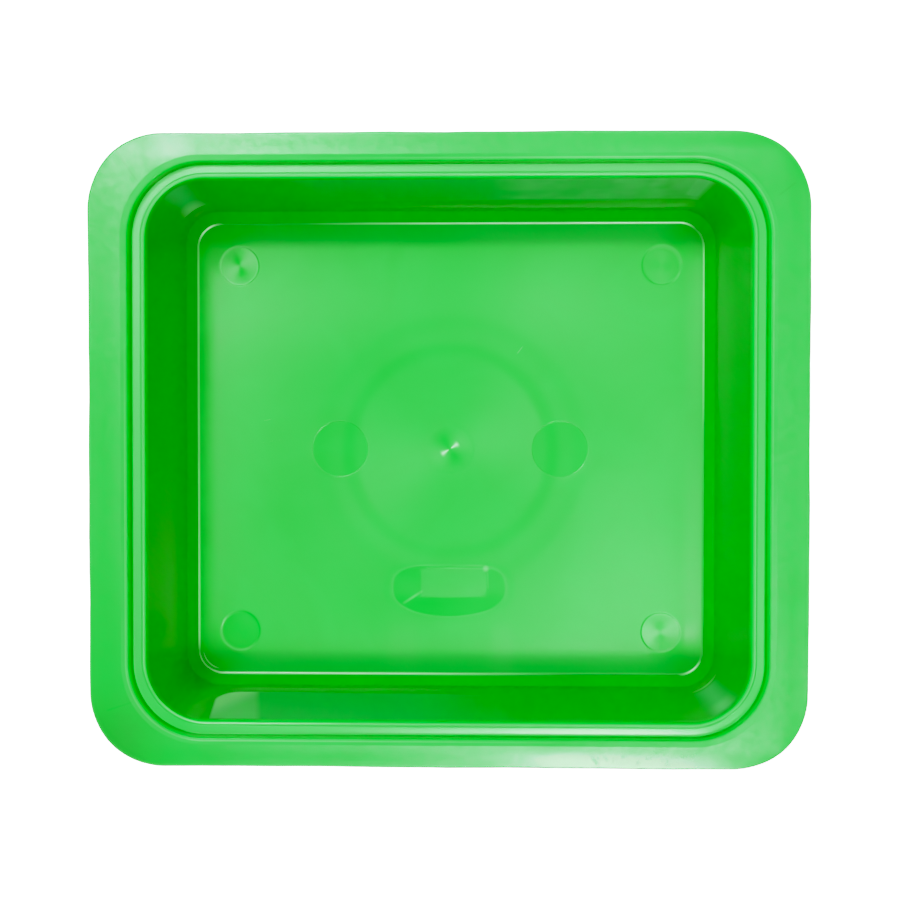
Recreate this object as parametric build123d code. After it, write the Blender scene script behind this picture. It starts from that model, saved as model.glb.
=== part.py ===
from build123d import *
import os

# Rectangular gold pan: one injection-moulded plastic shell, in one piece.
# Millimetres, +Z up. Origin on the resting plane, at the centre of the base.
# X runs along the long side, Y along the short side.

# ---- overall ----
PAN_HEIGHT = 89.0        # flange top above the resting plane
SKIN = 2.4               # moulded wall, floor and flange thickness
STEP_DEPTH = 6.0         # flange top down to the ledge
BEVEL_DROP = 0.45        # fall across the flange's shallow bevel
TOE_HEIGHT = 9.0         # height of the toe bevel above the floor

# ---- plan outlines: (X length, Y width, corner radius) ----
FLANGE = (406.4, 358.4, 42.5)        # outside of the flange
BEVEL = (369.4, 332.6, 45.5)         # outer line of the flange's bevel
STEP_TOP = (361.8, 325.6, 42.4)      # top of the step's short wall
STEP_FOOT = (359.2, 324.4, 41.0)     # foot of the step's short wall
LIP = (345.4, 309.8, 34.6)           # inner edge of the ledge
TOE = (337.4, 303.5, 21.2)           # foot of the wall, head of the toe bevel
FLOOR = (327.2, 292.6, 15.8)         # edge of the floor

# ---- outer form, where it isn't simply the inner one plus the skin ----
BASE_MARGIN = 1.5        # flat underside's reach beyond the floor's edge
LIP_THINNING = 0.2       # taken off the skin at the top of the wall
TOE_SIZE_CUT = 0.35      # taken off the outer toe's length and width, not its radius
TOE_OUTER_DROP = 0.5     # outer toe below the inner one

# ---- bend radii ----
EDGE_RADIUS = 0.9        # flange's free edge, above and below
STEP_TOP_RADIUS = 1.3    # convex
STEP_FOOT_RADIUS = 0.8   # concave
LIP_RADIUS = 2.6         # convex, ledge to wall
TOE_RADIUS = 4.0         # concave, wall to toe bevel
FLOOR_RADIUS = 1.8       # concave, toe bevel to floor
BASE_RADIUS = 3.2        # convex, under the floor's edge

# ---- round marks: diameters, depths and places ----
PIN_X, PIN_Y = 136.5, 118.6                          # four ejector discs
PIN_DIAMETER, PIN_DEPTH = 25.0, 0.25
VALVE_X, VALVE_DIAMETER, VALVE_DEPTH = 71.2, 36.0, 0.20   # two air-valve discs
GATE_DIAMETER, GATE_DEPTH = 31.0, 0.20               # centre of the floor
SPRUE_DIAMETER, SPRUE_DEPTH = 16.0, 0.8              # centre of the underside
NUB_DIAMETER = 4.0                                   # left standing in both centre marks

# ---- blank D-shaped pad recess in the floor: (x, y) points round each outline ----
PAD_SHALLOW, PAD_DEEP = 0.15, 0.8    # bed depth at its +Y side and at its -Y side
PAD_RIM = [
    (-30.5, -75.8), (0.0, -76.0), (30.5, -76.5), (36.6, -83.5),
    (36.6, -94.0), (31.8, -101.9), (13.0, -107.0), (-6.5, -109.2),
    (-19.5, -107.2), (-30.2, -102.2), (-36.3, -92.7), (-35.8, -81.6),
]
PAD_BED = [
    (-16.6, -78.0), (2.6, -78.2), (21.8, -78.6), (23.9, -81.6),
    (24.0, -90.4), (21.4, -95.0), (12.0, -96.2), (1.0, -96.7),
    (-8.0, -96.5), (-15.4, -95.3), (-18.6, -90.6), (-18.8, -80.2),
]

# ---- heights that follow ----
Z_FLOOR = SKIN
Z_TOE = Z_FLOOR + TOE_HEIGHT
Z_LEDGE = PAN_HEIGHT - STEP_DEPTH
Z_STEP_TOP = PAN_HEIGHT - BEVEL_DROP
Z_FLANGE_UNDER = PAN_HEIGHT - SKIN


def grown(outline, margin):
    """Outline moved outwards by a margin."""
    length, width, radius = outline
    return (length + 2 * margin, width + 2 * margin, radius + margin)


BASE = grown(FLOOR, BASE_MARGIN)     # edge of the flat underside


def prism(lower, z_lower, upper, z_upper):
    """Closed solid ruled between two rounded rectangles at two heights."""
    low = (Plane.XY.offset(z_lower) * RectangleRounded(*lower)).wire()
    high = (Plane.XY.offset(z_upper) * RectangleRounded(*upper)).wire()
    return Solid.make_loft([low, high], ruled=True)


def disc(x, y, diameter, z_bottom, z_top):
    middle = Pos(x, y, (z_bottom + z_top) / 2)
    return middle * Cylinder(diameter / 2, z_top - z_bottom)


def ring_edges(shape, outline, z, tolerance=0.12):
    """Edges of one rounded-rectangle ring, found by its height and its reach."""
    half_x, half_y = outline[0] / 2, outline[1] / 2
    picked = ShapeList()
    for edge in shape.edges():
        box = edge.bounding_box()
        if abs(box.min.Z - z) > 0.02 or abs(box.max.Z - z) > 0.02:
            continue
        reach_x = max(abs(box.min.X), abs(box.max.X))
        reach_y = max(abs(box.min.Y), abs(box.max.Y))
        if reach_x > half_x + tolerance or reach_y > half_y + tolerance:
            continue
        if abs(reach_x - half_x) < tolerance or abs(reach_y - half_y) < tolerance:
            picked.append(edge)
    return picked


def make_outer():
    """Outer form: roughly the hollow moved out by the skin."""
    lip = grown(LIP, SKIN - LIP_THINNING)
    length, width, radius = grown(TOE, SKIN)
    toe = (length - TOE_SIZE_CUT, width - TOE_SIZE_CUT, radius)
    z_toe = Z_TOE - TOE_OUTER_DROP
    z_ledge = Z_LEDGE - SKIN
    outer = prism(BASE, 0.0, toe, z_toe)
    outer += prism(toe, z_toe, lip, z_ledge)
    outer += prism(grown(STEP_FOOT, SKIN), z_ledge, grown(STEP_TOP, SKIN), Z_FLANGE_UNDER)
    outer += prism(FLANGE, Z_FLANGE_UNDER, FLANGE, PAN_HEIGHT)
    return outer


def make_hollow():
    hollow = prism(FLOOR, Z_FLOOR, TOE, Z_TOE)
    hollow += prism(TOE, Z_TOE, LIP, Z_LEDGE)
    hollow += prism(STEP_FOOT, Z_LEDGE, STEP_TOP, Z_STEP_TOP)
    hollow += prism(STEP_TOP, Z_STEP_TOP, BEVEL, PAN_HEIGHT)
    return hollow


def round_bends(pan):
    for outline, z, radius in [
        (TOE, Z_TOE, TOE_RADIUS),
        (FLOOR, Z_FLOOR, FLOOR_RADIUS),
        (LIP, Z_LEDGE, LIP_RADIUS),
        (STEP_FOOT, Z_LEDGE, STEP_FOOT_RADIUS),
        (STEP_TOP, Z_STEP_TOP, STEP_TOP_RADIUS),
        (BASE, 0.0, BASE_RADIUS),
        (FLANGE, PAN_HEIGHT, EDGE_RADIUS),
        (FLANGE, Z_FLANGE_UNDER, EDGE_RADIUS),
    ]:
        ring = ring_edges(pan, outline, z)
        # a whole ring is four sides and four corners
        assert len(ring) == 8, (outline, z, len(ring))
        pan = pan.fillet(radius, ring)
    return pan


def floor_disc(x, y, diameter, depth):
    """Cutter for a shallow round mark in the floor."""
    return disc(x, y, diameter, Z_FLOOR - depth, Z_FLOOR + 1)


def pad_cutter():
    """Pad recess, lofted from its sloping bed up to its rim in the floor."""
    bed_top = max(y for x, y in PAD_BED)
    bed_bottom = min(y for x, y in PAD_BED)
    slope = (PAD_DEEP - PAD_SHALLOW) / (bed_top - bed_bottom)
    bed_points = [(x, y, Z_FLOOR - PAD_SHALLOW - slope * (bed_top - y)) for x, y in PAD_BED]
    bed = Spline(*bed_points, periodic=True)
    rim = Plane.XY.offset(Z_FLOOR) * Spline(*PAD_RIM, periodic=True)
    return Solid.make_loft([Wire([bed.edge()]), Wire([rim.edge()])], ruled=True)


def mark_cutters():
    cutters = []
    for side_x in (-1, 1):
        for side_y in (-1, 1):
            cutters.append(floor_disc(side_x * PIN_X, side_y * PIN_Y, PIN_DIAMETER, PIN_DEPTH))
        cutters.append(floor_disc(side_x * VALVE_X, 0, VALVE_DIAMETER, VALVE_DEPTH))
    cutters.append(floor_disc(0, 0, GATE_DIAMETER, GATE_DEPTH)
                   - disc(0, 0, NUB_DIAMETER, Z_FLOOR - 1, Z_FLOOR + 2))
    cutters.append(pad_cutter())
    cutters.append(disc(0, 0, SPRUE_DIAMETER, -1, SPRUE_DEPTH)
                   - disc(0, 0, NUB_DIAMETER, -2, 2))
    return cutters


def make_pan():
    pan = (make_outer() - make_hollow()).solids()[0]
    pan = round_bends(pan)
    for cutter in mark_cutters():
        pan = pan - cutter
    return pan.solids()[0]


os.makedirs("parts", exist_ok=True)
export_step(make_pan(), "parts/pan_body.step")
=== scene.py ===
"""A green moulded pan: a rectangular bowl with rounded corners, a stepped ledge and a flat flange.

It stands on z = 0, open side up, centred on the origin. Its length runs along x, its width along y.
The mesh and the patterns on it are worked out in mm, everything else is in metres.
"""

import math

import bpy
import numpy as np
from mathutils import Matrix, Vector, geometry


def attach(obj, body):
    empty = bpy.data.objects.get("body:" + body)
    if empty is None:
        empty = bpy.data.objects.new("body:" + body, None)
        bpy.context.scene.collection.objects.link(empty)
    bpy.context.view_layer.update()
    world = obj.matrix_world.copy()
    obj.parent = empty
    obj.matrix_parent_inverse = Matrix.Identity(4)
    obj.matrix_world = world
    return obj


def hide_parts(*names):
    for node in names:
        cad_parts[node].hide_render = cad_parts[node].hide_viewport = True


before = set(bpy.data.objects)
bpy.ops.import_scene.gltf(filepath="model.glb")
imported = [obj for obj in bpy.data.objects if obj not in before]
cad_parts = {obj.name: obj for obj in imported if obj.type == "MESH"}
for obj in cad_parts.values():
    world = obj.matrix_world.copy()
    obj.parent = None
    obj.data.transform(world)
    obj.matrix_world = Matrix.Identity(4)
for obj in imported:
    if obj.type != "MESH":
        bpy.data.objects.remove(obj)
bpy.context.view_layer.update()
scene = bpy.context.scene
MM = 0.001

# =====================================================================================
# Dimensions, mm
# =====================================================================================
SKIN = 2.4          # thickness of the floor, the ledge and the flange
LEDGE_Z = 83.0
RIM_Z = 89.0

# Corners of the skin's section: half length, half width, plan radius, height.
# The inner (upper) skin, from the floor outwards
IN_FLOOR = (163.6, 146.3, 15.8, SKIN)
IN_TOE = (168.7, 151.75, 21.2, 11.4)
IN_LIP = (172.7, 154.9, 34.6, LEDGE_Z)
IN_LEDGE = (179.6, 162.2, 41.0, LEDGE_Z)
IN_GROOVE = (180.9, 162.8, 42.4, 88.55)
IN_BEVEL = (184.7, 166.3, 45.5, RIM_Z)
# the free edge of the flange
EDGE_TOP = (203.2, 179.2, 42.5, RIM_Z)
EDGE_BOTTOM = EDGE_TOP[:3] + (RIM_Z - SKIN,)
# the outer (lower) skin, from the flange inwards
OUT_GROOVE = (183.3, 165.2, 44.8, RIM_Z - SKIN)
OUT_LEDGE = (182.0, 164.6, 43.4, LEDGE_Z - SKIN)
OUT_LIP = (174.9, 157.1, 36.8, LEDGE_Z - SKIN)
OUT_TOE = (170.925, 153.975, 23.6, 10.9)
OUT_BASE = (165.1, 147.8, 17.3, 0.0)

# witness groove on the ledge: distance out from the lip's corner, height over the ledge
NOTCH = ((2.05, 0.0), (2.35, -0.20), (2.65, 0.0))

FILLET_STEP = 9.0       # degrees of bend per facet
SUPPORT = 0.3           # distance of the supporting rings from the ends of a straight

# segments of a plan ring: per corner, per side along x, per side along y
CORNER_SEGS, X_SEGS, Y_SEGS = 22, 30, 28

# turned marks in the floor: centre and radius, depth
PIN_X, PIN_Y, PIN_R, PIN_DEPTH = 136.5, 118.6, 12.5, 0.25       # ejector discs, four mirrored
DISC_X, DISC_R, DISC_DEPTH = 71.2, 18.0, 0.20                   # larger discs, two on the x axis
# width of the rounding at a pin's edge, by the signs of x and y
PIN_SOFT = {(1, 1): 3.5, (-1, -1): 3.2, (1, -1): 1.8, (-1, 1): 1.8}

# centre gate, a shallow turned recess with a small nub: radius, points, height over the floor
GATE = ((17.0, 120, 0.0), (16.2, 120, -0.01), (15.5, 120, -0.06), (14.8, 120, -0.13),
        (14.0, 120, -0.16), (9.0, 96, -0.19), (5.0, 72, -0.21), (3.2, 60, -0.22),
        (2.5, 60, -0.16), (2.0, 60, -0.06), (1.5, 48, 0.0), (0.9, 36, 0.02))
# the recess and nub below it: radius, points, height over the underside
GATE_UNDER = ((8.6, 72, 0), (8.2, 72, 0.05), (7.9, 72, 0.4), (7.6, 72, 0.75), (7.2, 72, 0.8),
              (2.6, 36, 0.8), (2.15, 36, 0.72), (1.95, 36, 0.35), (1.7, 36, 0.12),
              (1.2, 24, 0.08))

# D-shaped recess: x, y of its rim and of its sloping bed
PAD_RIM = [(-30.5, -75.8), (0.0, -76.0), (30.5, -76.5), (36.6, -83.5), (36.6, -94.0),
           (31.8, -101.9), (13.0, -107.0), (-6.5, -109.2), (-19.5, -107.2),
           (-30.2, -102.2), (-36.3, -92.7), (-35.8, -81.6)]
PAD_BED = [(-16.6, -78.0), (2.6, -78.2), (21.8, -78.6), (23.9, -81.6), (24.0, -90.4),
           (21.4, -95.0), (12.0, -96.2), (1.0, -96.7), (-8.0, -96.5),
           (-15.4, -95.3), (-18.6, -90.6), (-18.8, -80.2)]
PAD_POINTS = 144
PAD_DEEP, PAD_SHALLOW = 0.8, 0.15
PAD_SHALLOW_Y = -78.0
PAD_SLOPE = (PAD_DEEP - PAD_SHALLOW) / 18.7


# =====================================================================================
# Shape: one moulded shell, built as a closed mesh
# =====================================================================================
def fillet_profile(corners):
    """Round the corners of a section and return its stations, each as four numbers.

    corners: (half length, half width, radius, z), bend radius, extra rings up to the next corner.
    """
    points = [np.array(corner[0], float) for corner in corners]
    stations = [points[0]]
    for i in range(1, len(points)):
        start, point, bend_r = stations[-1], points[i], corners[i][1]
        arc = [point]
        if i < len(points) - 1:
            back, ahead = points[i - 1] - point, points[i + 1] - point
            back = back / math.hypot(back[0], back[3])
            ahead = ahead / math.hypot(ahead[0], ahead[3])
            angle = math.acos(max(-1, min(1, back[0] * ahead[0] + back[3] * ahead[3])))
            reach = bend_r / math.tan(angle / 2)
            first, last = point + reach * back, point + reach * ahead
            weight = math.sin(angle / 2)
            steps = max(2, int(math.ceil(math.degrees(math.pi - angle) / FILLET_STEP)))
            arc = []
            for j in range(steps + 1):      # the arc as a rational quadratic curve
                t = j / steps
                b0, b1, b2 = (1 - t) ** 2, 2 * t * (1 - t) * weight, t * t
                arc.append((b0 * first + b1 * point + b2 * last) / (b0 + b1 + b2))
        span = arc[0] - start
        length = math.hypot(span[0], span[3])
        extra = corners[i - 1][2]
        fractions = {j / (extra + 1) for j in range(1, extra + 1)}
        if length > 3 * SUPPORT:
            fractions |= {SUPPORT / length, 1 - SUPPORT / length}
        stations += [start + t * span for t in sorted(fractions)]
        stations += arc
    return stations


def plan_ring(half_x, half_y, radius):
    """Points of a rounded rectangle, counter-clockwise, the same count for every ring."""
    points = []
    in_x, in_y = half_x - radius, half_y - radius
    centres = [(in_x, in_y), (-in_x, in_y), (-in_x, -in_y), (in_x, -in_y)]
    for k in range(4):
        cx, cy = centres[k]
        for j in range(CORNER_SEGS + 1):
            a = math.radians(90 * k + 90 * j / CORNER_SEGS)
            points.append((cx + radius * math.cos(a), cy + radius * math.sin(a)))
        next_x, next_y = centres[(k + 1) % 4]
        a = math.radians(90 * (k + 1))
        start = (cx + radius * math.cos(a), cy + radius * math.sin(a))
        end = (next_x + radius * math.cos(a), next_y + radius * math.sin(a))
        segs = X_SEGS if k % 2 == 0 else Y_SEGS
        for j in range(1, segs):
            t = j / segs
            points.append((start[0] + (end[0] - start[0]) * t,
                           start[1] + (end[1] - start[1]) * t))
    return points


def closed_spline(points, count):
    """Closed centripetal Catmull-Rom curve through points, as count points."""
    P = np.array(points, float)
    n = len(P)
    curve = []
    for i in range(n):
        p0, p1, p2, p3 = P[(i - 1) % n], P[i], P[(i + 1) % n], P[(i + 2) % n]
        t0 = 0.0
        t1 = t0 + np.linalg.norm(p1 - p0) ** 0.5
        t2 = t1 + np.linalg.norm(p2 - p1) ** 0.5
        t3 = t2 + np.linalg.norm(p3 - p2) ** 0.5
        for j in range(count // n):
            t = t1 + (t2 - t1) * j / (count // n)

            def between(ta, tb, a, b):
                return (tb - t) / (tb - ta) * a + (t - ta) / (tb - ta) * b

            a1, a2, a3 = between(t0, t1, p0, p1), between(t1, t2, p1, p2), between(t2, t3, p2, p3)
            b1, b2 = between(t0, t2, a1, a2), between(t1, t3, a2, a3)
            curve.append(between(t1, t2, b1, b2))
    return np.array(curve)


def smooth01(t):
    t = np.clip(t, 0, 1)
    return t * t * (3 - 2 * t)


def inside_poly(poly, x, y):
    inside = False
    xs, ys = poly[:, 0], poly[:, 1]
    k = len(poly) - 1
    for m in range(len(poly)):
        if ((ys[m] > y) != (ys[k] > y)
                and x < (xs[k] - xs[m]) * (y - ys[m]) / (ys[k] - ys[m]) + xs[m]):
            inside = not inside
        k = m
    return inside


class Marks:
    """Points (x, y, height over the face) moulded into a flat face, and loops of edges."""

    def __init__(self):
        self.points, self.loops = [], []

    def add_loop(self, xy, heights):
        first, n = len(self.points), len(xy)
        self.points += [(x, y, height) for (x, y), height in zip(xy, heights)]
        self.loops.append([(first + i, first + (i + 1) % n) for i in range(n)])

    def circle(self, cx, cy, radius, count, height):
        a = np.arange(count) * 2 * math.pi / count
        xy = np.stack([cx + radius * np.cos(a), cy + radius * np.sin(a)], 1)
        self.add_loop(xy, [height] * count)

    def disc(self, cx, cy, radius, depth, count, outer_ring, lip, soft):
        """A sunk disc with a raised lip. soft stretches the rounding of its edge."""
        for offset, height in ((0.9 * soft, 0.0), (0.40 * soft, lip),
                               (0.15 * soft, lip - depth * 0.12), (-0.05, -depth * 0.55),
                               (-0.25 * soft, -depth * 0.95), (-0.55 * soft, -depth)):
            self.circle(cx, cy, radius + offset, count, height)
        for k in (outer_ring, 0.7, 0.5, 0.3, 0.12):
            self.circle(cx, cy, radius * k, count if k > 0.5 else count // 2, -depth)
        self.points.append((cx, cy, -depth))


def bed_z(y):
    """Height of the D-shaped recess's bed over the floor."""
    return -(PAD_SHALLOW + PAD_SLOPE * (PAD_SHALLOW_Y - y))


def add_pad(marks):
    """The D-shaped recess. Returns its rim and bed outlines."""
    rim, bed = closed_spline(PAD_RIM, PAD_POINTS), closed_spline(PAD_BED, PAD_POINTS)
    outwards = rim - rim.mean(0)
    outwards /= np.linalg.norm(outwards, axis=1)[:, None]
    for offset in (1.4, 0.5):
        marks.add_loop(rim + outwards * offset, [0.0] * PAD_POINTS)
    for t in (0.0, 0.06, 0.16, 0.4, 0.64, 0.86, 0.95, 1.0):
        k = 0.02 + 0.336 * smooth01(t * 0.96 + 0.02) + 0.63 * t
        marks.add_loop(rim + (bed - rim) * t, [bed_z(p[1]) * k for p in bed])
    inner = bed + (bed.mean(0) - bed) * 0.06
    marks.add_loop(inner, [bed_z(p[1]) for p in inner])
    return rim, bed


def floor_marks(half_x, half_y, radius):
    """The marks in the floor's upper skin and a staggered grid of points between them."""
    marks = Marks()
    for sx in (-1, 1):
        for sy in (-1, 1):
            marks.disc(sx * PIN_X, sy * PIN_Y, PIN_R, PIN_DEPTH, count=96,
                       outer_ring=0.82, lip=0.03, soft=PIN_SOFT[sx, sy])
        marks.disc(sx * DISC_X, 0, DISC_R, DISC_DEPTH, count=120,
                   outer_ring=0.9, lip=0.04, soft=1.0)
    for gate_ring in GATE:
        marks.circle(0, 0, *gate_ring)
    marks.points.append((0, 0, GATE[-1][2]))
    rim, bed = add_pad(marks)

    marked = np.array([p[:2] for p in marks.points])
    step, clearance = 4.0, 1.4
    border_x, border_y = half_x - 2.4, half_y - 2.4
    keep_out = [(sx * PIN_X, sy * PIN_Y, 12.6) for sx in (-1, 1) for sy in (-1, 1)]
    keep_out += [(-DISC_X, 0, 18.1), (DISC_X, 0, 18.1), (0, 0, 17.0)]
    for i, x in enumerate(np.arange(-half_x + 3, half_x - 2.9, step)):
        for row_y in np.arange(-half_y + 3, half_y - 2.9, step):
            y = row_y + (step / 2 if i % 2 else 0)
            if abs(y) > border_y:
                continue
            over_x, over_y = abs(x) - (border_x - radius), abs(y) - (border_y - radius)
            if over_x > 0 and over_y > 0 and math.hypot(over_x, over_y) > radius:
                continue
            if np.hypot(marked[:, 0] - x, marked[:, 1] - y).min() < clearance:
                continue
            if any(math.hypot(x - cx, y - cy) < r for cx, cy, r in keep_out):
                continue
            height = 0.0
            if -38 < x < 38 and -110.5 < y < -75:
                if inside_poly(bed, x, y):
                    height = bed_z(y)
                elif inside_poly(rim, x, y):
                    continue
            marks.points.append((x, y, height))
    return marks


def underside_marks():
    """The gate recess with its nub, and a coarse grid over the flat underside."""
    marks = Marks()
    for radius, count, height in GATE_UNDER:
        angles = [2 * math.pi * i / count for i in range(count)]
        marks.add_loop([(radius * math.cos(a), radius * math.sin(a)) for a in angles],
                       [height] * count)
    for x in np.arange(-150, 151, 12.0):
        for y in np.arange(-132, 133, 12.0):
            if math.hypot(x, y) > 12:
                marks.points.append((x, y, 0.0))
    return marks


def cap(verts, faces, ring_ids, marks, face_z, flip):
    """Fill a ring with a triangulated flat face that carries the marks."""
    n = len(ring_ids)
    flat = [Vector(verts[i][:2]) for i in ring_ids] + [Vector(p[:2]) for p in marks.points]
    edges = [(i, (i + 1) % n) for i in range(n)]
    for loop in marks.loops:
        edges += [(a + n, b + n) for a, b in loop]
    points, _, tris, origins, _, _ = geometry.delaunay_2d_cdt(flat, edges, [], 0, 1e-6, True)
    ids = []
    for point, origin in zip(points, origins):
        source = min(origin) if origin else None
        if source is not None and source < n:
            ids.append(ring_ids[source])
        else:
            height = marks.points[source - n][2] if source is not None else 0.0
            ids.append(len(verts))
            verts.append((point.x, point.y, face_z + height))
    for tri in tris:
        tri = [ids[k] for k in tri]
        faces.append(tuple(reversed(tri)) if flip else tuple(tri))


def warp(V):
    """Small real distortions of the moulding, always inside the CAD box."""
    x, y, z = V[:, 0], V[:, 1], V[:, 2]
    dz = np.zeros(len(V))
    # floor, upper skin: lifts before the end walls (x), dips a little before the side walls (y)
    low = (z > 1.2) & (z < 3.0)
    near_x = np.clip((np.abs(x) - 149.0) / 15.0, 0, 1)
    near_y = np.clip((np.abs(y) - 126.0) / 21.0, 0, 1)
    hold_x = smooth01((148.0 - np.abs(y)) / 16.0)
    hold_y = smooth01((165.0 - np.abs(x)) / 16.0)
    rise = np.where(x > 0, 0.70, 0.30) * near_x ** 2 * hold_x
    rise -= np.where(y > 0, 0.25, 0.08) * near_y ** 2 * hold_y
    dz += np.where(low, rise, 0.0)
    # flange: outside the bevel the skin sags by up to half a millimetre
    over_x, over_y = np.abs(x) - 185.0, np.abs(y) - 166.5
    across = np.maximum(over_x / 18.0, over_y / 12.5)
    high = z > 86.0
    sag = 0.30 + 0.20 * np.sin(x * 0.021 + 0.7) * np.cos(y * 0.017 - 0.4)
    dz -= np.where(high, sag * smooth01(np.clip(across, 0, 1)), 0.0)
    # waves of the free edge in plan
    edge = smooth01((across - 0.35) / 0.65) * high
    a = np.arctan2(y, x)
    wave_reflection = (0.16 * (1 + np.sin(9 * a + 0.6)) + 0.10 * (1 + np.sin(23 * a + 2.1))
            + 0.05 * (1 + np.sin(61 * a)))
    k = 1 - edge * wave_reflection / np.hypot(x, y).clip(1, None)
    V[:, 0] = x * k
    V[:, 1] = y * k
    V[:, 2] = z + dz
    return V


def ledge_point(out, dz):
    """A section corner on the ledge, out mm from the lip's corner."""
    t = out / (IN_LEDGE[0] - IN_LIP[0])
    point = [a + (b - a) * t for a, b in zip(IN_LIP, IN_LEDGE)]
    point[3] += dz
    return tuple(point)


def build_pan(name):
    floor_start = (IN_FLOOR[0] - 6, IN_FLOOR[1] - 6, IN_FLOOR[2] - 5, IN_FLOOR[3])
    base_end = (OUT_BASE[0] - 8, OUT_BASE[1] - 8, OUT_BASE[2] - 6, OUT_BASE[3])
    notch = [ledge_point(*point) for point in NOTCH]
    stations = fillet_profile([     # corner, bend radius, extra rings up to the next corner
        (floor_start, 0, 1), (IN_FLOOR, 1.8, 0), (IN_TOE, 4.0, 9), (IN_LIP, 2.0, 0),
        (notch[0], 0.06, 0), (notch[1], 0.05, 0), (notch[2], 0.06, 0),
        (IN_LEDGE, 0.8, 0), (IN_GROOVE, 1.3, 1), (IN_BEVEL, 4.0, 6),
        (EDGE_TOP, 0.9, 0), (EDGE_BOTTOM, 0.9, 4),
        (OUT_GROOVE, 1.0, 1), (OUT_LEDGE, 1.0, 1), (OUT_LIP, 1.5, 8), (OUT_TOE, 5.0, 1),
        (OUT_BASE, 3.2, 1), (base_end, 0, 0),
    ])
    verts, faces, rings = [], [], []
    for half_x, half_y, radius, z in stations:
        xy = plan_ring(half_x, half_y, radius)
        rings.append(range(len(verts), len(verts) + len(xy)))
        verts += [(x, y, z) for x, y in xy]
    n = len(rings[0])
    for a, b in zip(rings[:-1], rings[1:]):
        for i in range(n):
            j = (i + 1) % n
            faces.append((a[i], b[i], b[j], a[j]))
    cap(verts, faces, rings[0], floor_marks(*floor_start[:3]), SKIN, flip=False)
    cap(verts, faces, rings[-1], underside_marks(), base_end[3], flip=True)

    mesh = bpy.data.meshes.new(name)
    mesh.from_pydata((warp(np.array(verts, float)) * MM).tolist(), [], faces)
    mesh.update()
    mesh.validate()
    mesh.polygons.foreach_set("use_smooth", [True] * len(mesh.polygons))
    shell = bpy.data.objects.new(name, mesh)
    scene.collection.objects.link(shell)
    return shell


pan = build_pan("pan_shell")


# =====================================================================================
# Node helpers
# =====================================================================================
def feed(tree, target, value):
    """Link a Num or an output to an input, or set the input to a plain value."""
    source = value.socket if isinstance(value, Num) else value
    if hasattr(source, "is_output"):
        tree.links.new(source, target)
    else:
        target.default_value = source


def add_node(tree, kind, inputs=None, **settings):
    """A shader node with its settings, and its inputs by name or number."""
    node = tree.nodes.new("ShaderNode" + kind)
    for key, value in settings.items():
        setattr(node, key, value)
    for key, value in (inputs or {}).items():
        feed(tree, node.inputs[key], value)
    return node


green = bpy.data.materials.new("green_polypropylene")
green.use_nodes = True
green_tree = green.node_tree
green_tree.nodes.clear()


def math_node(operation, *operands, clamp=False):
    node = add_node(green_tree, "Math", dict(enumerate(operands)),
                    operation=operation, use_clamp=clamp)
    return Num(node.outputs[0])


class Num:
    """A number in the green material's tree, so that a pattern can be written as a sum."""

    def __init__(self, socket):
        self.socket = socket

    def __add__(self, other): return math_node("ADD", self, other)
    __radd__ = __add__
    def __mul__(self, other): return math_node("MULTIPLY", self, other)
    __rmul__ = __mul__
    def __sub__(self, other): return math_node("SUBTRACT", self, other)
    def __rsub__(self, other): return math_node("SUBTRACT", other, self)
    def __truediv__(self, other): return math_node("DIVIDE", self, other)
    def abs(self): return math_node("ABSOLUTE", self)
    def sqrt(self): return math_node("SQRT", self)
    def power(self, exponent): return math_node("POWER", self, exponent)
    def max(self, other): return math_node("MAXIMUM", self, other)
    def min(self, other): return math_node("MINIMUM", self, other)
    def sign(self): return math_node("SIGN", self)
    def gt(self, other): return math_node("GREATER_THAN", self, other)
    def lt(self, other): return math_node("LESS_THAN", self, other)
    def clamp(self): return math_node("ADD", self, 0.0, clamp=True)

    def ramp(self, zero_at, one_at):
        """Smooth step, 0 at zero_at and 1 at one_at, which may be the smaller of the two."""
        falling = zero_at > one_at
        node = add_node(green_tree, "MapRange", {
            "Value": self, "From Min": min(zero_at, one_at), "From Max": max(zero_at, one_at),
            "To Min": 1 if falling else 0, "To Max": 0 if falling else 1,
        }, interpolation_type="SMOOTHSTEP")
        return Num(node.outputs["Result"])

    def bell(self, centre, reach):
        """1 at the centre, falling to 0 at a distance of reach."""
        d = (self - centre) / reach
        return (1 - (d * d)).max(0).power(2)


def separate(vector):
    node = add_node(green_tree, "SeparateXYZ", {0: vector})
    return [Num(node.outputs[i]) for i in range(3)]


def combine(*xyz):
    return add_node(green_tree, "CombineXYZ", dict(enumerate(xyz))).outputs[0]


def mix(factor, below, above):
    return add_node(green_tree, "Mix", {0: factor, 6: below, 7: above},
                    data_type="RGBA").outputs[2]


# =====================================================================================
# Material: glossy green polypropylene with its mould and wear marks, and with painted highlights,
# reflections and shade.
# Places are in mm, ramp(0 at, 1 at) and bell(centre, reach) shape each mark, and the plain
# factor behind a mark is its strength.
# =====================================================================================
GREEN = (0.0120, 0.565, 0.0745, 1.0)
GREEN_DEEP = (0.0105, 0.535, 0.0680, 1.0)
# pale for scuffs and grain, and for painted glare
GREEN_PALE_WEAR_AND_GLARE = (0.0240, 0.62, 0.1050, 1.0)
# painted highlight: the ledge's paler green
GREEN_LEDGE_LIT = (0.0560, 0.575, 0.1200, 1.0)
# painted shade for the floor's bands along the ±y walls
GREEN_FLOOR_SHADE = (0.0090, 0.475, 0.0720, 1.0)
# painted reflection on the walls
GREEN_WALL_REFLECTION = (0.0170, 0.590, 0.1400, 1.0)
# painted reflection in the corners
GREEN_TEAL_REFLECTION = (0.0500, 0.610, 0.2100, 1.0)
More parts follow.
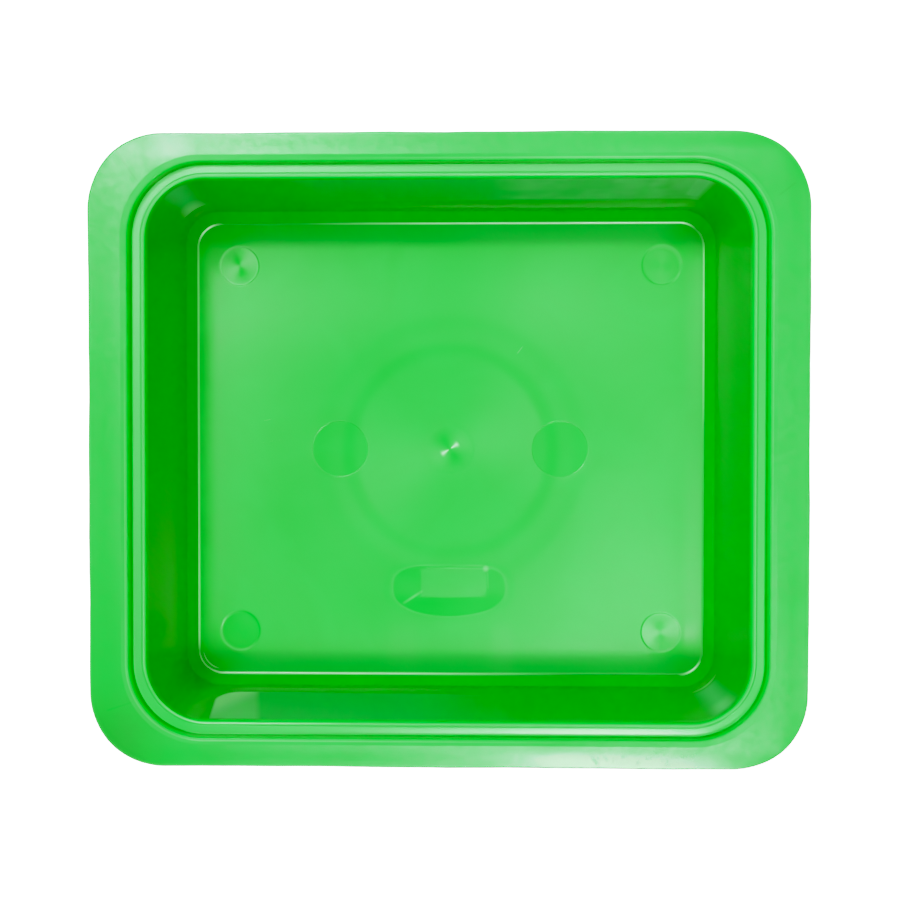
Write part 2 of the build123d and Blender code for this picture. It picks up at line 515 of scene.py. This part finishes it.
# painted shade on the end walls and in the ledge's notch, and the dark of the melt lines
GREEN_DARK_SHADE_AND_CREASE = (0.0080, 0.450, 0.0560, 1.0)
GREEN_SHADE = (0.0200, 0.400, 0.0600, 1.0)
GREEN_LIT = (0.0160, 0.820, 0.1000, 1.0)
# painted highlight, a whitish green
GREEN_HIGHLIGHT = (0.5500, 0.970, 0.6000, 1.0)
# painted reflection: the wave on the +y wall
GREEN_WAVE_REFLECTION = (0.1500, 0.650, 0.2800, 1.0)

output = add_node(green_tree, "OutputMaterial")
plastic = add_node(green_tree, "BsdfPrincipled")
feed(green_tree, output.inputs["Surface"], plastic.outputs[0])
position = add_node(green_tree, "VectorMath", {
    0: add_node(green_tree, "TexCoord").outputs["Object"], "Scale": 1 / MM,
}, operation="SCALE").outputs[0]
x, y, z = separate(position)
normal_x, normal_y, normal_z = separate(
    add_node(green_tree, "NewGeometry").outputs["True Normal"])


def noise(scale, detail=2, roughness=0.5, at=position, distortion=0):
    """Noise in 0..1, scale in cycles per mm. At a Num it is one-dimensional."""
    one_d = isinstance(at, Num)
    return Num(add_node(green_tree, "TexNoise", {
        "W" if one_d else "Vector": at, "Scale": scale, "Detail": detail,
        "Roughness": roughness, "Distortion": distortion,
    }, noise_dimensions="1D" if one_d else "3D").outputs["Fac"])


def polar(cx, cy, fold=False):
    """Offsets and distance from a centre. With fold, from the nearest of four mirrored ones."""
    if fold:
        u, v = (x.abs() - cx) * x.sign(), (y.abs() - cy) * y.sign()
    else:
        u, v = x - cx, y - cy
    return u, v, (u * u + v * v).sqrt()


def distance(cx, cy):
    return polar(cx, cy)[2]


def ring(half_x, half_y, radius, cx=0, cy=0):
    """Distance outwards from a rounded rectangle."""
    over_x = (x - cx).abs() - (half_x - radius)
    over_y = (y - cy).abs() - (half_y - radius)
    far = (over_x.max(0) * over_x.max(0) + over_y.max(0) * over_y.max(0)).sqrt()
    near = (over_x.max(over_y) * -1).max(0) * -1
    return far + near - radius


def twin(u, v, r, degrees):
    """Two opposite lobes: 1 along the direction, 0 across it."""
    a = math.radians(2 * degrees)
    lobes = ((u * u - v * v) * math.cos(a) + u * v * (2 * math.sin(a))) / (r * r + 0.01)
    return lobes * 0.5 + 0.5


def short_line(x0, y0, x1, y1, reach):
    """A short line between two points: where melt fronts met or where the part was nicked, and
    painted glints.
    """
    dx, dy = x1 - x0, y1 - y0
    length = math.hypot(dx, dy)
    dx, dy = dx / length, dy / length
    along = (x - x0) * dx + (y - y0) * dy
    across = (y - y0) * dx - (x - x0) * dy
    return across.bell(0, reach) * along.ramp(-1, 1.5) * along.ramp(length + 1, length - 1.5)


def scratches(degrees, across, low, high, seed):
    """Fine scratches: noise stretched along one direction, with only its crests kept."""
    c, s = math.cos(math.radians(degrees)), math.sin(math.radians(degrees))
    u, v = x * c + y * s, y * c - x * s
    stretched = combine(u * 0.05, v * across, seed)
    return noise(1, detail=3, roughness=0.62, at=stretched).ramp(low, high)


# ---- regions of the surface
up = normal_z.gt(0.7)
on_floor = up * z.lt(4.5)
on_rim = up * z.gt(87)
on_ledge = up * z.gt(82) * z.lt(84)
outside = normal_z.lt(-0.02)
# painted shade: the floor darker in bands along the ±y walls
floor_band_shade = on_floor * y.abs().ramp(128, 137)
wall = (1 - up) * (1 - outside)
# painted reflection: a paler band on the upper ±y walls
wall_reflection_band = wall * z.ramp(84, 82) * (
    y.gt(145) * z.ramp(32, 39) * x.ramp(-120, -70) * x.ramp(135, 90)
    + y.lt(-145) * z.ramp(26, 32) * x.ramp(-122, -95) * x.ramp(52, -25))
diag = (x + y) * 0.7071
bend = x.abs().ramp(140, 153) * y.abs().ramp(122, 135)      # 1 in the four corners
low_corner = x.ramp(-149, -155) * y.ramp(-131, -137) * on_floor     # at -x, -y

# ---- painted highlights on the edges of the floor, the lip, the bevel and the flange, painted shade in the ledge's notch and painted light at the top of the walls
# painted highlight along the floor's edge: its strength by side and corner
floor_edge_highlight_side = (                                               # strength along the floor's edge
    low_corner * 0.26
    + y.ramp(128, 143) * x.ramp(159, 149)                   # +y side
    * (x.ramp(-105, 15) * 0.85 + x.ramp(15, 120) * 0.2)
    + y.ramp(-128, -143) * x.ramp(-157, -144) * x.ramp(90, -60)             # -y side
    + x.ramp(-150, -161) * (y.ramp(40, -97) * 0.22 + 0.22) * y.ramp(-134, -122)     # -x side
    + x.ramp(150, 161) * y.ramp(0, 60) * y.ramp(135, 122) * 0.45            # +x side
    + diag.bell(-11, 11) * x.lt(-120)                       # corner at -x, +y
    + diag.bell(10, 9.5) * x.gt(120))                       # corner at +x, -y
toe_ring = ring(163.7, 146.4, 15.9, cy=-0.2)
# painted highlight: a thin bright line where the floor meets the walls, and a second arc in the -x,
# -y corner
floor_edge_highlight = (toe_ring.bell(-0.30, 0.90) * z.lt(6.5) * floor_edge_highlight_side
             + toe_ring.bell(-2.9, 0.7) * low_corner * 0.30).clamp()
# painted highlight on the lip's edge
lip_highlight = ring(173.9, 156.2, 35.8, 0.5, 0.1).bell(0, 0.75) * z.gt(80) * z.lt(84)
# painted shade in the witness notch on the ledge
lip_notch_shade = ring(175.0, 157.3, 36.9, 0.35, 0.45).bell(0, 0.65) * on_ledge
# painted highlight on the bevel's inner edge
bevel_highlight = ring(182.3, 164.3, 43.8).bell(0, 0.75) * z.gt(87)
# painted highlight along the flange's outer edge
rim_edge_highlight = ring(202.6, 178.6, 41.9).bell(0, 1.3) * on_rim
groove_lit = wall * z.ramp(84.5, 87)
lip_lit = wall * z.ramp(76, 81.5) * z.ramp(84, 83.6) * (1 - bend * 0.6)

# ---- turned marks of the mould inserts: four ejector discs, the gate and the wide disc round it
pin_u, pin_v, pin_r = polar(PIN_X, PIN_Y, fold=True)
gate_u, gate_v, gate_r = polar(0.6, -1.4)
in_pin = pin_r.ramp(12.2, 11.6) * on_floor
in_gate = gate_r.ramp(15.2, 13.5) * on_floor
in_wide = gate_r.ramp(63.5, 58) * on_floor
disc_r = polar(DISC_X, 0, fold=True)[2]
in_wide = in_wide * disc_r.ramp(17.9, 18.6)
turned_r = pin_r * in_pin + gate_r * (1 - in_pin)
turning = noise(1.6, detail=4, roughness=0.62, at=turned_r)
dark_rings = (gate_r.bell(66, 7) + gate_r.bell(84, 8) * 0.5) * on_floor

# ---- surface texture of the moulding
peel = noise(0.34)
peel_wide = noise(0.030)
grain = noise(2.4, detail=1)
streak = noise(1, roughness=0.6, at=combine(x * 0.016, y * 1.35, 3))
streak_zone = x.ramp(30, 110) * y.ramp(-18, -42) * y.ramp(-115, -92) * on_floor
sheen = noise(0.018, roughness=0.55, at=combine(x, y, 3), distortion=1.2)

# ---- wear, and painted glare on the flange
worn_patch = x.bell(-116, 30) * y.bell(5, 50) * on_floor
worn = (sheen.ramp(0.50, 0.66) * 0.12 + worn_patch).clamp() * up
scuff = (scratches(11, across=2.2, low=0.62, high=0.74, seed=1) * worn
         + scratches(-31, across=2.0, low=0.68, high=0.77, seed=17) * worn * 0.7).clamp()
rim_mottle = noise(0.26, detail=3, roughness=0.7, at=combine(x, y, 9))
# painted glare on two stretches of the flange, broken up by the mottle
flange_glare_zone = on_rim * (
    x.ramp(70, 84) * x.ramp(150, 138) * y.ramp(-167, -170)
    + x.ramp(-178, -168) * x.ramp(-120, -136) * y.ramp(166, 171) * 0.7)
flange_glare = (flange_glare_zone * rim_mottle.ramp(0.50, 0.64)).clamp()

creases = short_line(-187.5, 170.5, -174.5, 151.5, 0.9)
for line in ((194.0, 149.5, 184.7, 142.5, 0.9), (-193.0, -147.5, -178.0, -142.5, 0.9),
             (121.6, -169.6, 118.4, -176.0, 0.5)):
    creases = creases + short_line(*line)
creases = creases * up

# ---- painted reflections: pale patches on the walls
# a painted reflection shaped like a flat-ended leaf on the -y wall
leaf_u, leaf_v = (x - z * 0.15 + 133.7).min(0) / 15.5, (z - 45).min(0) / 18
leaf_reflection = ((leaf_u * leaf_u + leaf_v * leaf_v).sqrt().ramp(1.05, 0.93)
        * z.ramp(79.5, 77) * y.lt(-140))
leaf_reflection_core = (leaf_reflection * (x - z * 0.22).ramp(-124, -129)
             * ((x * 0.7 + z * 0.35).ramp(-66, -85) * 0.60 + 0.24))
# a painted reflection: a long wave on the +y wall, with two upright bands
wave_reflection = (x.ramp(22, 50) * x.ramp(153, 148) * z.ramp(36, 41) * y.gt(140)
        * (peel_wide.ramp(0.35, 0.62) * 0.8 + 0.45))
wave_reflection = wave_reflection * 0.62 + x.bell(146, 5.5) * z.ramp(42, 50) * y.gt(140) * 0.6
wave_reflection = (wave_reflection + x.bell(121.5, 6.5) * z.ramp(50, 66) * y.gt(140) * 0.35) * z.ramp(80, 77.5)
# painted reflections in each of two opposite corners
corner_a, corner_b = x.lt(-140) * y.gt(120), x.gt(140) * y.lt(-120)
corner_reflection = (diag.bell(-5.5, 12) * corner_a * z.ramp(29.5, 32) * z.ramp(82, 76)
        + diag.bell(8.5, 12) * corner_b * z.ramp(26, 33) * z.ramp(82, 75))
# painted reflections: the bright cores of the leaf and of the corner patches
reflection_cores = (
    leaf_reflection_core
    + diag.bell(-7, 10) * corner_a * z.ramp(29.5, 32) * z.ramp(50, 34) * 0.52
    + diag.bell(8.5, 9.5) * corner_b * z.ramp(27, 31) * z.ramp(80, 75)
    * (z.bell(70, 12) * 0.2 + 0.16)
    + diag.bell(9.8, 11.5) * corner_b * z.bell(26.5, 2.4) * 0.5)
bowl = wall * (normal_x * x + normal_y * y).lt(0)       # the inside of the walls only

# ---- painted highlights: turned lobes and glints, shared by the colour and the shine
def gate_distance():
    """Distance from the pan's centre, from the gate's offsets."""
    return ((gate_u + 0.6) * (gate_u + 0.6) + (gate_v - 1.4) * (gate_v - 1.4)).sqrt()


gate_lobe = twin(gate_u + 0.6, gate_v - 1.4, gate_distance(), degrees=33)
centre_r = gate_distance()
# painted glints at the tips of the gate's lobes
gate_glints = gate_lobe.power(14) * centre_r.ramp(0.5, 1.5) * centre_r.ramp(7.5, 5) * on_floor
pad_glint = (
    distance(23.4, -77.8).ramp(2.8, 0.4) * 1.4
    + short_line(-15.5, -77.4, 27.0, -77.9, 0.8) * 0.3
    + short_line(24.6, -79.6, 25.0, -91.0, 0.9) * 0.25
    + short_line(-30.4, -100.6, -17.6, -92.4, 1.3)
    * ((x + 24).abs().ramp(6.5, 0) * 0.9 + 0.45)) * on_floor

# ---- colour: layers painted over one another, each with its cover and its green
# strengths of the painted highlights on the lip and the bevel, by side
lip_side = y.ramp(-140, -150) * x.ramp(-55, -105) * 0.22 + 0.11
bevel_side = ((x * y).ramp(-18000, 5000) * 0.095
              + (x * y).ramp(0, 20000) * y.abs().ramp(120, 150) * (1 - bend) * 0.13)
# painted highlights along the edges, at the gate and on the recess, and a short pale line on the
# floor
painted_highlights = (floor_edge_highlight + lip_highlight * lip_side + bevel_highlight * bevel_side + rim_edge_highlight * 0.085
          + gate_glints * 0.7 + pad_glint * 0.18
          + short_line(43.6, 61.8, 47.0, 66.2, 0.5) * on_floor * 0.15).clamp()
layers = (
    # painted shade along the floor's ±y edges
    (floor_band_shade, GREEN_FLOOR_SHADE),
    # painted reflection on the upper ±y walls
    (wall_reflection_band, GREEN_WALL_REFLECTION),
    # painted highlight: the ledge paler, less so towards -y
    (on_ledge * (0.75 - y.ramp(-120, -156) * 0.3), GREEN_LEDGE_LIT),
    # painted shade: the walls at the ±x ends darker, the -x one most
    (wall * (x.ramp(-150, -162) * 0.8 + x.ramp(152, 164) * 0.25), GREEN_DARK_SHADE_AND_CREASE),
    ((on_rim * (x.ramp(-60, -190) * 0.2
                + x.ramp(-150, -185) * y.ramp(-120, -165) * 0.75)).clamp(), GREEN_SHADE),
    # painted highlight on the ledge at +y and at -x
    (on_ledge * (y.ramp(120, 156) * 0.09 + x.ramp(-150, -172) * 0.035).clamp(), GREEN_HIGHLIGHT),
    ((creases * 0.7).clamp(), GREEN_DARK_SHADE_AND_CREASE),
    # painted shade in the ledge's notch
    ((lip_notch_shade * 0.8).clamp(), GREEN_DARK_SHADE_AND_CREASE),
    (((groove_lit + lip_lit) * 0.8).clamp(), GREEN_LIT),
    # painted reflections on the inside of the walls
    ((bowl * leaf_reflection * x.ramp(-60, -100)).clamp(), GREEN_WALL_REFLECTION),
    ((bowl * corner_reflection).clamp(), GREEN_TEAL_REFLECTION),
    ((bowl * wave_reflection).clamp(), GREEN_WAVE_REFLECTION),
    ((bowl * reflection_cores).clamp(), GREEN_HIGHLIGHT),
    # scuffs, pale grain on the ledge and painted glare on the flange
    ((scuff * 0.35 + flange_glare * 0.45
      + grain.ramp(0.45, 0.72) * on_ledge * 0.3).clamp(), GREEN_PALE_WEAR_AND_GLARE),
    # painted highlights
    (painted_highlights, GREEN_HIGHLIGHT),
)
color = mix(sheen.ramp(0.30, 0.70), GREEN_DEEP, GREEN)
for cover, layer_green in layers:
    color = mix(cover, color, layer_green)

# ---- gloss
roughness = (
    0.145 + sheen.ramp(0.35, 0.70) * 0.03
    + scuff * 0.16 + flange_glare * 0.12 + on_rim * 0.02 + on_ledge * 0.03 + outside * 0.06
    + in_pin * 0.04 + in_gate * 0.05 + in_wide * (1 - in_gate) * 0.05
    + streak_zone * streak.ramp(0.4, 0.7) * 0.09)

# ---- how strongly each mark shines, around an even 0.5
# the floor's edges, the wide disc and the foot line
wide_lobe = twin(gate_u, gate_v, gate_r, degrees=16)
shine = (0.5 - floor_band_shade * 0.2 - x.ramp(-156.5, -161) * on_floor * 0.25
         + x.ramp(148, 158) * on_floor * 0.09
         + (wide_lobe.power(2) - 0.42) * in_wide * gate_r.ramp(5, 24) * 0.25)
shine = (shine - dark_rings * 0.12 + floor_edge_highlight * 0.5
         - toe_ring.bell(-1.5, 1) * low_corner * 0.25)
# the gate and the two larger discs
shine = shine + ((gate_lobe.power(3) * 0.25 - (1 - gate_lobe).power(2) * 0.34)
                 * centre_r.ramp(17, 6)) * on_floor
in_disc = disc_r.ramp(17.9, 17.5) * on_floor
shine = shine - in_disc * 0.15 + disc_r.bell(18.2, 0.7) * on_floor * 0.25

# the ejector discs: signs of x and y, direction of the lobes in degrees, gain along them,
# loss across them, offset of the whole disc
PIN_SHINE = ((1, -1, 0, 0.42, 0.22, 0.08), (-1, 1, 20, 0.30, 0.34, 0.0),
             (1, 1, 80, 0.10, 0.06, 0.0), (-1, -1, 50, 0.10, 0.04, -0.28))
for sign_x, sign_y, degrees, gain, loss, offset in PIN_SHINE:
    one_u, one_v, one_r = polar(sign_x * PIN_X, sign_y * PIN_Y)
    lobe = twin(one_u, one_v, one_r, degrees)
    inside = one_r.ramp(12.2, 11.4) * on_floor
    shine = shine + inside * (
        lobe.power(2) * gain - (1 - lobe).power(2) * one_r.ramp(13, 4) * loss * 1.3
        + offset + (turning - 0.5) * 0.25 + one_r.bell(7.6, 1.2) * 0.08)
    shine = shine + one_r.bell(12.6, 1) * on_floor * (0.03 + gain * 0.65)

# the D-shaped recess: sloping sides face away from the light, its bed towards it
pad_dx, pad_dy = (x + 0.4).abs(), y + 92.3
pad_u, pad_v, below = pad_dx / 36.4, pad_dy.abs() / 16.6, pad_dy.lt(0)


def superellipse(exponent):
    return (pad_u.power(exponent) + pad_v.power(exponent)).power(1 / exponent)


pad_r = superellipse(3.6) * (1 - below) + superellipse(2.1) * below
in_pad = pad_r.ramp(1.01, 0.97) * on_floor
in_bed = (x - 2.6).abs().ramp(22.5, 20) * (y + 87.3).abs().ramp(10.2, 8.4) * on_floor
on_slope = (in_pad - in_bed).max(0)
shine = (shine - on_slope * (0.12 + x.ramp(22, -20) * 0.13 + y.ramp(-92, -98) * 0.11)
         + in_bed * 0.04)
shine = shine + (pad_r.bell(1.02, 0.035) * 0.16 - pad_r.bell(1.12, 0.10) * 0.08) * on_floor
# two soft patches on the -y side of the recess
shine = shine + (((x + 30).abs().ramp(13, 5) + (x - 34).abs().ramp(10, 3))
                 * y.ramp(-109, -118) * on_floor * 0.09)

# streaks, scuffs, the mottled flange and three patches near the floor's edge
shine = shine + streak_zone * (streak.ramp(0.34, 0.66) - 0.5) * 0.16 + scuff * 0.22
shine = shine + (rim_mottle.ramp(0.34, 0.66) - 0.5) * on_rim * 0.16
shine = shine + x.bell(155, 10) * y.bell(-123, 15) * on_floor * 0.42
shine = shine - on_ledge * bend * (
    ring(*IN_LIP[:3]).ramp(3.4, 0.8) * 0.16 + 0.09 + (x * y).gt(0) * 0.05)
shine = shine + (x.bell(-152.5, 7) * 0.13
                 - y.ramp(128, 134) * x.ramp(30, -10) * 0.13) * on_floor

# the ledge and the flange don't lie quite flat: their highlights gather into narrower bands
shine = shine + on_ledge * (
    y.bell(-160.3, 2.6) * x.ramp(-80, 0) * x.ramp(165, 120) * 0.36
    + x.ramp(-160, -172) * (y.ramp(-60, 110) * 0.14 - 0.04)
    - x.ramp(160, 172) * 0.06 - y.ramp(150, 158) * x.ramp(60, 110) * 0.06)
shine = shine + on_rim * (
    y.lt(-160) * x.ramp(5, 75) * x.ramp(168, 135) * (y.ramp(-168, -174.5) * 0.48 - 0.12)
    + distance(-156, 172.5).bell(0, 17) * 0.20
    + (x.ramp(193, 198) + x.ramp(-193, -198) * y.ramp(60, 0)) * 0.055)

# ---- turned areas spread their highlights across the grooves
anisotropy = (in_pin * 0.6 + in_gate * 0.6 + in_wide * (1 - in_gate) * 0.5).clamp()
off_pin = 1 - in_pin
radial = combine(pin_u * in_pin + gate_u * off_pin, pin_v * in_pin + gate_v * off_pin, 0.001)
tangent = add_node(green_tree, "VectorMath", {0: radial}, operation="NORMALIZE").outputs[0]

# ---- relief too fine for the mesh, in mm
relief = (peel * 0.006 + peel_wide * 0.10 + grain * on_ledge * 0.012
          + turning * (in_pin + in_wide * 0.5) * 0.010 + streak * streak_zone * 0.008)
bump = add_node(green_tree, "Bump", {"Strength": 1.0, "Distance": MM, "Height": relief})

for socket_name, value in {
    "Base Color": color, "Roughness": roughness, "IOR": 1.5,
    "Specular IOR Level": shine.clamp(), "Anisotropic": anisotropy, "Tangent": tangent,
    "Normal": bump.outputs[0],
}.items():
    feed(green_tree, plastic.inputs[socket_name], value)
pan.data.materials.append(green)

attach(pan, "root")
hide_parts("pan_body")

# =====================================================================================
# Stage: plain pale floor, soft overhead studio light, camera straight above
# =====================================================================================
WHITE = (1, 1, 1, 1)
BACKDROP = 1.3          # brightness of the floor's glow and of the world, as the camera sees them
ROOM = 0.03             # brightness of the world for all other rays


def floor_material():
    """Pale diffuse, with a white glow that only the camera sees."""
    material = bpy.data.materials.new("studio_floor")
    material.use_nodes = True
    tree = material.node_tree
    tree.nodes.clear()
    output = add_node(tree, "OutputMaterial")
    diffuse = add_node(tree, "BsdfDiffuse", {"Color": (0.9, 0.9, 0.9, 1)})
    seen = add_node(tree, "LightPath").outputs["Is Camera Ray"]
    strength = add_node(tree, "Math", {0: seen, 1: BACKDROP}, operation="MULTIPLY")
    glow = add_node(tree, "Emission", {"Color": WHITE, "Strength": strength.outputs[0]})
    both = add_node(tree, "AddShader", {0: diffuse.outputs[0], 1: glow.outputs[0]})
    feed(tree, output.inputs["Surface"], both.outputs[0])
    return material


def build_floor(half, z):
    material = floor_material()
    mesh = bpy.data.meshes.new("studio_floor")
    mesh.from_pydata([(-half, -half, 0), (half, -half, 0), (half, half, 0), (-half, half, 0)],
                     [], [(0, 1, 2, 3)])
    mesh.materials.append(material)
    floor = bpy.data.objects.new("studio_floor", mesh)
    floor.location.z = z
    scene.collection.objects.link(floor)


def build_world():
    world = bpy.data.worlds.new("studio")
    scene.world = world
    world.use_nodes = True
    tree = world.node_tree
    room = tree.nodes["Background"]
    room.inputs["Color"].default_value = WHITE
    room.inputs["Strength"].default_value = ROOM
    backdrop = add_node(tree, "Background", {"Color": WHITE, "Strength": BACKDROP})
    seen = add_node(tree, "LightPath").outputs["Is Camera Ray"]
    both = add_node(tree, "MixShader", {0: seen, 1: room.outputs[0], 2: backdrop.outputs[0]})
    feed(tree, tree.nodes["World Output"].inputs["Surface"], both.outputs[0])


build_floor(half=6.0, z=-0.0004)
build_world()

# ---- lights, all in one plane and facing down
LIGHT_Z = 1.2


def area(name, x_span, y_span, radiance):
    (x0, x1), (y0, y1) = x_span, y_span
    light = bpy.data.lights.new(name, "AREA")
    light.shape = "RECTANGLE"
    light.size, light.size_y = x1 - x0, y1 - y0
    light.energy = math.pi * (x1 - x0) * (y1 - y0) * radiance
    lamp = bpy.data.objects.new(name, light)
    lamp.location = ((x0 + x1) / 2, (y0 + y1) / 2, LIGHT_Z)
    lamp.visible_camera = False
    scene.collection.objects.link(lamp)
    return light


# The overhead softbox isn't even: its radiance is given at crossings of a coarse grid and runs
# straight between them.
SOFT_HALF = 1.1
SOFT_GAIN = 0.975       # trims the whole table
SOFT_X = (-0.8, -0.6, -0.48, -0.32, -0.16, 0, 0.16, 0.3, 0.44, 0.555, 0.76)
SOFT_ROWS = [   # y, radiance at each SOFT_X
    (-0.720, (0.00, 0.00, 0.03, 1.74, 0.00, 0.00, 0.00, 0.00, 7.12, 0.00, 0.00)),
    (-0.525, (0.00, 0.00, 0.97, 3.71, 5.37, 10.31, 17.50, 23.50, 10.00, 4.00, 0.00)),
    (-0.430, (0.00, 0.78, 0.31, 1.59, 2.03, 1.40, 3.03, 3.15, 0.00, 4.73, 1.61)),
    (-0.280, (0.12, 1.08, 1.96, 1.91, 0.89, 2.24, 3.13, 4.60, 5.65, 2.42, 0.00)),
    (-0.140, (0.00, 1.93, 2.83, 0.74, 2.70, 0.79, 1.41, 4.56, 1.23, 3.02, 0.00)),
    (0.000, (0.35, 1.96, 2.67, 1.70, 1.56, 3.03, 1.92, 1.60, 3.54, 2.53, 0.00)),
    (0.130, (1.19, 2.46, 3.26, 1.54, 0.66, 1.04, 1.55, 2.72, 1.29, 2.77, 0.00)),
    (0.260, (0.00, 4.83, 5.42, 3.58, 2.57, 1.83, 4.15, 2.64, 2.60, 2.47, 0.00)),
    (0.400, (0.00, 5.19, 0.14, 0.00, 0.00, 0.40, 0.65, 1.19, 0.00, 2.92, 0.00)),
    (0.495, (1.70, 15.00, 12.00, 14.50, 9.98, 4.34, 4.50, 4.60, 5.00, 2.00, 0.00)),
    (0.700, (0.00, 4.17, 12.50, 6.37, 0.00, 0.00, 0.00, 0.00, 1.10, 0.00, 0.00)),
]


def build_softbox():
    span = (-SOFT_HALF, SOFT_HALF)
    light = area("overhead_softbox", x_span=span, y_span=span, radiance=1.0)
    light.use_nodes = True
    tree = light.node_tree
    emission = next(n for n in tree.nodes if n.type == "EMISSION")
    place = add_node(tree, "SeparateXYZ",
                     {0: add_node(tree, "NewGeometry").outputs["Position"]})

    def unit(source):
        """The softbox's span as 0..1."""
        return add_node(tree, "MapRange", {"From Min": -SOFT_HALF, "From Max": SOFT_HALF,
                                           "Value": source}).outputs[0]

    def curve(source, points):
        """Straight lines through (place, value) points."""
        node = add_node(tree, "FloatCurve", {"Value": source})
        knots = node.mapping.curves[0].points
        while len(knots) > 2:
            knots.remove(knots[1])
        points = [((p + SOFT_HALF) / (2 * SOFT_HALF), v) for p, v in points]
        knots[0].location = points[0]
        knots[-1].location = points[-1]
        for point in points[1:-1]:
            knots.new(*point)
        for knot in knots:
            knot.handle_type = "VECTOR"
        node.mapping.update()
        return node.outputs[0]

    def combined(operation, a, b):
        return add_node(tree, "Math", {0: a, 1: b}, operation=operation).outputs[0]

    across, along = unit(place.outputs[0]), unit(place.outputs[1])
    top = max(max(values) for _, values in SOFT_ROWS)
    grid = [-SOFT_HALF] + [row[0] for row in SOFT_ROWS] + [SOFT_HALF]
    total = None
    for k, (_, values) in enumerate(SOFT_ROWS, 1):
        row = curve(across, [(-SOFT_HALF, 0.0)] + [(p, v / top) for p, v in zip(SOFT_X, values)]
                    + [(SOFT_HALF, 0.0)])
        # 1 on this row, falling to 0 on the rows beside it
        hat = [(p, 1.0 if i == k else 0.0) for i, p in enumerate(grid)
               if i in (0, k - 1, k, k + 1, len(grid) - 1)]
        share = combined("MULTIPLY", row, curve(along, hat))
        total = share if total is None else combined("ADD", total, share)
    feed(tree, emission.inputs["Strength"], combined("MULTIPLY", total, top * SOFT_GAIN))


build_softbox()
area("side_fill_right", x_span=(1.2, 2.6), y_span=(-1.0, 1.0), radiance=0.50)
area("side_fill_left", x_span=(-2.6, -1.2), y_span=(-1.0, 1.0), radiance=1.86)
area("back_fill", x_span=(-1.0, 1.0), y_span=(1.2, 2.6), radiance=0.70)

# ---- camera
lens = bpy.data.cameras.new("camera")
lens.sensor_width = 36.0
lens.lens = 39.88
lens.clip_start = 0.01
camera = bpy.data.objects.new("camera", lens)
camera.location = (0.01170, 0.00852, 0.649)
camera.rotation_euler = (math.radians(-0.814), math.radians(1.027), math.radians(0.042))
scene.collection.objects.link(camera)
scene.camera = camera

# ---- tone: deep shadows clip to pure green, highlights roll off gently
scene.view_settings.view_transform = "Standard"
scene.view_settings.look = "None"
scene.view_settings.use_curve_mapping = True
tone = scene.view_settings.curve_mapping
tone.black_level = (0.0235, 0.0, 0.054)
tone.use_clip = False
shoulder = tone.curves[3].points
shoulder[0].location = (0.0, 0.0)
shoulder[-1].location = (1.8, 1.0)
shoulder.new(0.58, 0.58)
shoulder.new(1.25, 0.835)
for knot in shoulder:
    knot.handle_type = "VECTOR"
tone.extend = "EXTRAPOLATED"
tone.update()
scene.cycles.max_bounces = 5
